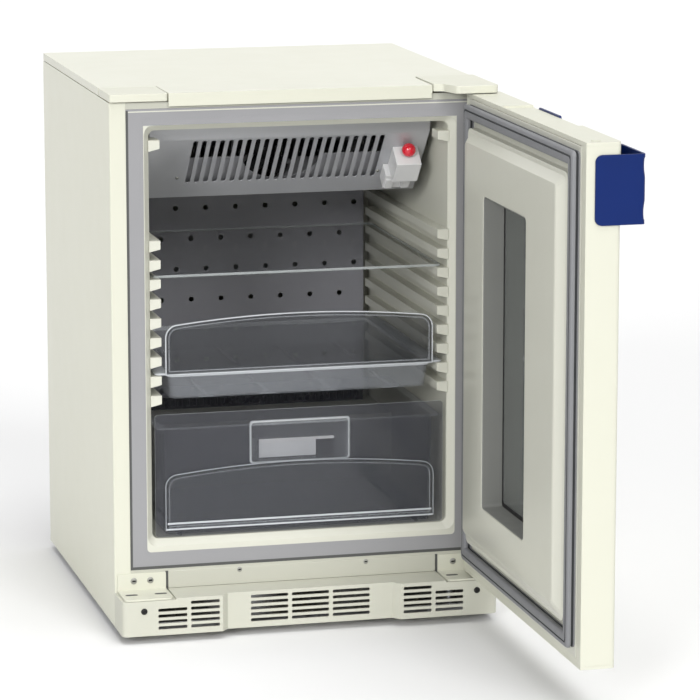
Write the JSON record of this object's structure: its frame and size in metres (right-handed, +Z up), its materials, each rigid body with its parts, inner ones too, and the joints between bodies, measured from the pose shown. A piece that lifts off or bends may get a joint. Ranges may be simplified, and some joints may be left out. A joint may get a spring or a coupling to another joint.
{
  "type": "under-counter laboratory refrigerator",
  "caption": "Under-counter laboratory refrigerator: cream steel case, open glazed side-hinged door, glass shelf, clear tray and drawer, cold-air unit and slotted plinth.",
  "frame": {"origin": "on the floor, midway between the four levelling feet", "axes": "+X to the right when facing the door, +Y to the rear, +Z up; the door is stored open, square to the front"},
  "size_m": [0.6415, 1.192, 0.839],
  "materials": {
    "case_paint": "cream-white powder coat, fine satin",
    "frame_paint": "pale grey enamel",
    "zinc_steel": "zinc plated",
    "liner_plastic": "vacuum-formed, soft gloss",
    "foam": "rigid foam, matt",
    "cream_plastic": "moulded, satin",
    "cover_sheet": "painted light grey sheet",
    "fin_aluminium": "plain sheet",
    "black_plastic": "moulded black",
    "motor_paint": "dark grey",
    "air_panel_paint": "grey enamel",
    "white_plastic": "moulded white",
    "compressor_paint": "black enamel",
    "black_rubber": "matt",
    "copper": "drawn tube",
    "grey_plastic": "moulded grey",
    "red_plastic": "glossy red",
    "foot_plastic": "moulded dark grey",
    "gasket_rubber": "soft grey vinyl",
    "window_glass": "tinted safety glass",
    "navy_plastic": "moulded navy",
    "lens_plastic": "dark lens",
    "shelf_glass": "clear safety glass",
    "clear_plastic": "clear moulded",
    "smoke_plastic": "clear moulded with a grey tint"
  },
  "bodies": {
    "cabinet": {"left_side_panel": "case_paint", "right_side_panel": "case_paint", "top_panel": "case_paint", "rear_panel": "zinc_steel", "front_frame": "frame_paint", "front_cross_rails": "case_paint", "inner_liner": "liner_plastic", "foam_insulation": "foam", "base_tray": "zinc_steel", "plinth_grille": "cream_plastic", "lower_hinge_bracket_left": "case_paint", "lower_hinge_bracket_right": "case_paint", "upper_hinge_bracket": "zinc_steel", "hinge_pins": "zinc_steel", "hinge_cover_left": "cream_plastic", "hinge_cover_right": "cream_plastic", "case_screws": "zinc_steel", "evaporator_cover": "cover_sheet", "evaporator_coil": "fin_aluminium", "fan_shroud": "black_plastic", "evaporator_fan_motor": "motor_paint", "rear_air_panel": "air_panel_paint", "return_air_grille": "black_plastic", "sensor_box": "white_plastic", "compressor": "compressor_paint", "compressor_mounts": "black_rubber", "condenser_coil": "fin_aluminium", "condenser_shroud": "black_plastic", "condenser_fan_motor": "motor_paint", "refrigerant_tubes": "copper", "filter_drier": "copper", "drip_pan": "black_plastic", "control_box": "grey_plastic", "power_inlet": "black_plastic"},
    "door": {"door_shell": "case_paint", "door_foam": "foam", "door_liner": "liner_plastic", "gasket": "gasket_rubber", "inner_window_pane": "window_glass", "outer_window_pane": "window_glass", "door_top_cap": "cream_plastic", "door_bottom_cap": "cream_plastic", "handle": "navy_plastic", "handle_screws": "zinc_steel", "display_housing": "navy_plastic", "display_lens": "lens_plastic", "hinge_hole_plugs": "cream_plastic"},
    "glass_shelf": {"glass_shelf": "shelf_glass"},
    "upper_tray": {"upper_tray": "clear_plastic"},
    "drawer": {"drawer_bin": "smoke_plastic", "drawer_front_rail": "clear_plastic"},
    "red_button": {"red_button": "red_plastic"},
    "set_button": {"display_button_set": "grey_plastic"},
    "mute_button": {"display_button_mute": "grey_plastic"},
    "evaporator_fan": {"evaporator_fan": "black_plastic"},
    "condenser_fan": {"condenser_fan": "fin_aluminium"},
    "foot_front_left": {"foot_front_left": "foot_plastic"},
    "foot_front_right": {"foot_front_right": "foot_plastic"},
    "foot_rear_left": {"foot_rear_left": "foot_plastic"},
    "foot_rear_right": {"foot_rear_right": "foot_plastic"}
  },
  "joints": [
    {"name": "door_hinge", "type": "hinge", "parent": "cabinet", "child": "door", "pos_m": [0.2775, -0.324, 0.45], "axis": [0, 0, 1], "range_deg": [-90, 25]},
    {"name": "glass_shelf_slide", "type": "slide", "parent": "cabinet", "child": "glass_shelf", "axis": [0, -1, 0], "range_m": [0, 0.25]},
    {"name": "upper_tray_slide", "type": "slide", "parent": "cabinet", "child": "upper_tray", "axis": [0, -1, 0], "range_m": [0, 0.28]},
    {"name": "drawer_slide", "type": "slide", "parent": "cabinet", "child": "drawer", "axis": [0, -1, 0], "range_m": [0, 0.28]},
    {"name": "red_button_press", "type": "slide", "parent": "cabinet", "child": "red_button", "axis": [0, 0.6821, -0.7313], "range_m": [0, 0.0025], "stiffness_N_per_m": 400, "springref_m": -0.002},
    {"name": "set_button_press", "type": "slide", "parent": "door", "child": "set_button", "axis": [-1, 0, 0], "range_m": [0, 0.0007], "stiffness_N_per_m": 600, "springref_m": -0.001},
    {"name": "mute_button_press", "type": "slide", "parent": "door", "child": "mute_button", "axis": [-1, 0, 0], "range_m": [0, 0.0007], "stiffness_N_per_m": 600, "springref_m": -0.001},
    {"name": "evaporator_fan_spin", "type": "hinge", "parent": "cabinet", "child": "evaporator_fan", "pos_m": [0, -0.033, 0.712], "axis": [0, 1, 0], "continuous": true},
    {"name": "condenser_fan_spin", "type": "hinge", "parent": "cabinet", "child": "condenser_fan", "pos_m": [0.073, 0.192, 0.112], "axis": [1, 0, 0], "continuous": true},
    {"name": "foot_front_left_turn", "type": "hinge", "parent": "cabinet", "child": "foot_front_left", "pos_m": [-0.255, -0.23, 0.023], "axis": [0, 0, 1], "continuous": true},
    {"name": "foot_front_right_turn", "type": "hinge", "parent": "cabinet", "child": "foot_front_right", "pos_m": [0.255, -0.23, 0.023], "axis": [0, 0, 1], "continuous": true},
    {"name": "foot_rear_left_turn", "type": "hinge", "parent": "cabinet", "child": "foot_rear_left", "pos_m": [-0.255, 0.23, 0.023], "axis": [0, 0, 1], "continuous": true},
    {"name": "foot_rear_right_turn", "type": "hinge", "parent": "cabinet", "child": "foot_rear_right", "pos_m": [0.255, 0.23, 0.023], "axis": [0, 0, 1], "continuous": true}
  ]
}
